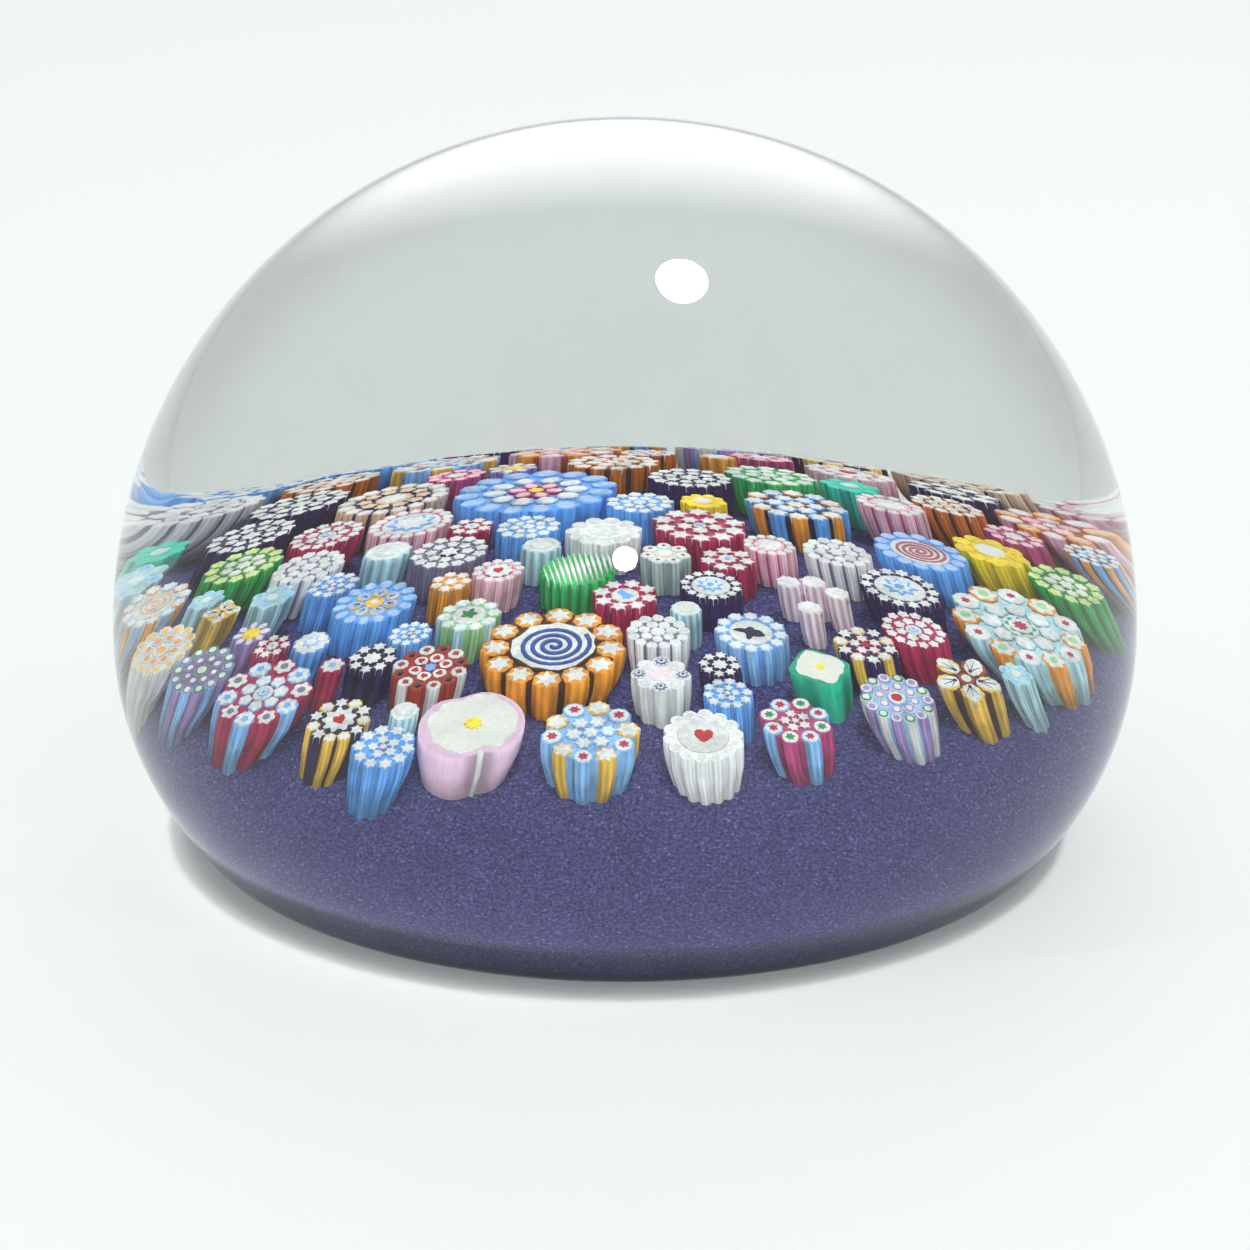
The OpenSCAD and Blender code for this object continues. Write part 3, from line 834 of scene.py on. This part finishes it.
cane("cane_honeycomb", [
    (14, cored(WHITE, GOLD, even(6), 0.62)),
    (8, cored(WHITE, AMBER, even(6), 0.62)),
    (1, cored(WHITE, AMBER, even(6), 0.5)),
], WHITE)
cane("cane_lilac_rings", [
    (13, ringed(LILAC, STAR_GREEN, WHITE), ringed(SKY, SLATE, WHITE)),
    (8, ringed(LILAC, SLATE, WHITE)),
    (1, ringed(LILAC, STAR_GREEN, WHITE)),
], SLATE)
cane("cane_many_rings", [
    (14, ringed(WHITE, STAR_GREEN, WHITE), ringed(LILAC, WHITE, LILAC)),
    (8, ringed(WHITE, LILAC, WHITE)),
    (1, ringed(SKY, WHITE, RED)),
], SKY)
cane("cane_red_dotted", [
    (7, [(ROUND, 1.0, PALE_TEAL), (even(12), 0.85, WHITE), (star(6), 0.3, RED)]),
    (1, [(even(20), 1.0, WHITE), (even(20), 0.8, GOLD), (even(20), 0.7, WHITE)]),
], PALE_TEAL)
cane("cane_pale_tube", [
    (1, [(fluted(12), 1.0, AQUA), (even(20), 0.86, WHITE), (even(20), 0.6, PALE_TEAL),
      (even(16), 0.5, WHITE)]),
], AQUA)


# Plain rods: short lengths of thick rod in one or two glasses, some with a stripe, a dot or
# bars drawn in, and small bundles of one colour. They fill the gaps between the other slices.
def pinched(i, t):
    """Reach of a round rod nipped in at two sides."""
    return 1 - 0.14 * math.exp(-(math.sin(t) / 0.3) ** 2)


def soft_square(i, t):
    """Reach of a rounded square."""
    return (abs(math.cos(t)) ** 5 + abs(math.sin(t)) ** 5) ** -0.2


MAUVE = cane_glass("mauve", "e6c6e0", streaks=0.3)
TURQUOISE = cane_glass("turquoise", "38dcc0", streaks=0.4)
PINCHED, SQUARE = (32, pinched), (32, soft_square)
stripe = [(even(8), 0.07, WHITE, (0.86, 0))]
cane("cane_yellow_dot", [
    (1, stripe),
    (1, [(PINCHED, 1.0, MAUVE), (PINCHED, 0.84, WHITE), (PINCHED, 0.8, CREAM),
      (star(9, 0.75), 0.17, YELLOW)]),
], MAUVE, -84)
cane("cane_cream_teal", [
    (1, [(SQUARE, 0.86, TEAL), (SQUARE, 0.72, CREAM), (even(8), 0.14, YELLOW)]),
], TEAL)
cane("cane_teal_plain", [
    (7, [(ROUND, 1.0, TURQUOISE)]),
    (1, cored(TURQUOISE, PALE_TEAL, even(16), 0.8)),
], TURQUOISE)
cane("cane_yellow_plain", [
    (9, [(ROUND, 1.0, YELLOW)]),
    (1, cored(YELLOW, CREAM, even(12), 0.8)),
], YELLOW)
cane("cane_aqua_plain", [
    (7, cored(AQUA, SKY, even(8), 0.5), [(ROUND, 1.0, AQUA)]),
    (1, cored(AQUA, WHITE, even(16), 0.6)),
], AQUA)
cane("cane_pink_tubes", [
    (6, [(ROUND, 1.0, SHELL)]),
    (1, cored(SHELL, WHITE, star(6, 0.6), 1.02)),
], SHELL)
BAR = (20, lambda i, t: 1 / math.hypot(math.cos(t), math.sin(t) / 0.045))
heights = [k / 7 for k in range(-6, 7)]
bars = [(BAR, math.sqrt(1 - y * y) * 0.97, WHITE, (0, y)) for y in heights]
cane("cane_green_zigzag", [(1, [(fluted(20, 0.12), 1.0, BRIGHT_GREEN)] + bars)], LEAF_GREEN)


# Stage: a plain pale floor, soft studio light from a large oval overhead lamp and a small one
# in front, and the camera, a long lens twenty degrees above the table.
FLOOR_HALF = 3.0
PAPER_TINT = (0.66, 0.695, 0.68, 1)
CAMERA_RISE = math.radians(20)
CAMERA_AWAY = 8 * WEIGHT_R
AIM_DROP = 0.008 * WEIGHT_R
LENS, SENSOR = 117.07, 36
floor_mesh = bmesh.new()
bmesh.ops.create_grid(floor_mesh, x_segments=1, y_segments=1, size=FLOOR_HALF)
floor = finished("studio_floor", floor_mesh)
paper = bpy.data.materials.new("studio_paper")
paper.use_nodes = True
sheen = paper.node_tree.nodes["Principled BSDF"].inputs
sheen["Base Color"].default_value = PAPER_TINT
sheen["Roughness"].default_value = 0.9
sheen["Specular IOR Level"].default_value = 0.1
floor.data.materials.append(paper)

world = bpy.data.worlds.new("studio")
world.use_nodes = True
sky, sky_links = world.node_tree.nodes, world.node_tree.links
sky["Background"].inputs["Color"].default_value = (1, 1, 1, 1)
towards = sky.new("ShaderNodeTexCoord")
facing = sky.new("ShaderNodeVectorMath")
facing.operation = "DOT_PRODUCT"
facing.inputs[1].default_value = (0.0, 0.9, 0.435)
glow = sky.new("ShaderNodeMapRange")
glow.interpolation_type = "SMOOTHSTEP"
glow.inputs["From Min"].default_value = 0.86
glow.inputs["From Max"].default_value = 1.0
glow.inputs["To Min"].default_value = 0.68
glow.inputs["To Max"].default_value = 3.6
sky_links.new(towards.outputs["Generated"], facing.inputs[0])
sky_links.new(facing.outputs["Value"], glow.inputs["Value"])
sky_links.new(glow.outputs["Result"], sky["Background"].inputs["Strength"])
bpy.context.scene.world = world
bpy.context.scene.view_settings.view_transform = "Standard"


def panel(name, place, size, power):
    """A soft oval lamp facing the weight."""
    lamp = bpy.data.lights.new(name, "AREA")
    lamp.shape = "ELLIPSE"
    lamp.size, lamp.size_y = size
    lamp.energy = power
    holder = bpy.data.objects.new(name, lamp)
    holder.location = place
    tilt = -math.asin(place[1] / Vector(place).length)
    holder.rotation_euler = (tilt, math.atan2(place[0], place[2]), 0)
    holder.visible_camera = False
    bpy.context.scene.collection.objects.link(holder)


panel("main_lamp", (0.14, 0.17, 0.88), (0.13, 0.2), 3.5)
panel("front_lamp", (0.0, -0.74, 0.51), (0.08, 0.08), 2.2)

camera_data = bpy.data.cameras.new("camera")
camera_data.sensor_width = SENSOR
camera_data.lens = LENS
camera = bpy.data.objects.new("camera", camera_data)
back = Vector((0, -math.cos(CAMERA_RISE), math.sin(CAMERA_RISE)))
camera.location = Vector((0, 0, WIDEST_Z - AIM_DROP)) + back * CAMERA_AWAY
camera.rotation_mode = "QUATERNION"
camera.rotation_quaternion = (-back).to_track_quat("-Z", "Y")
bpy.context.scene.collection.objects.link(camera)
bpy.context.scene.camera = camera
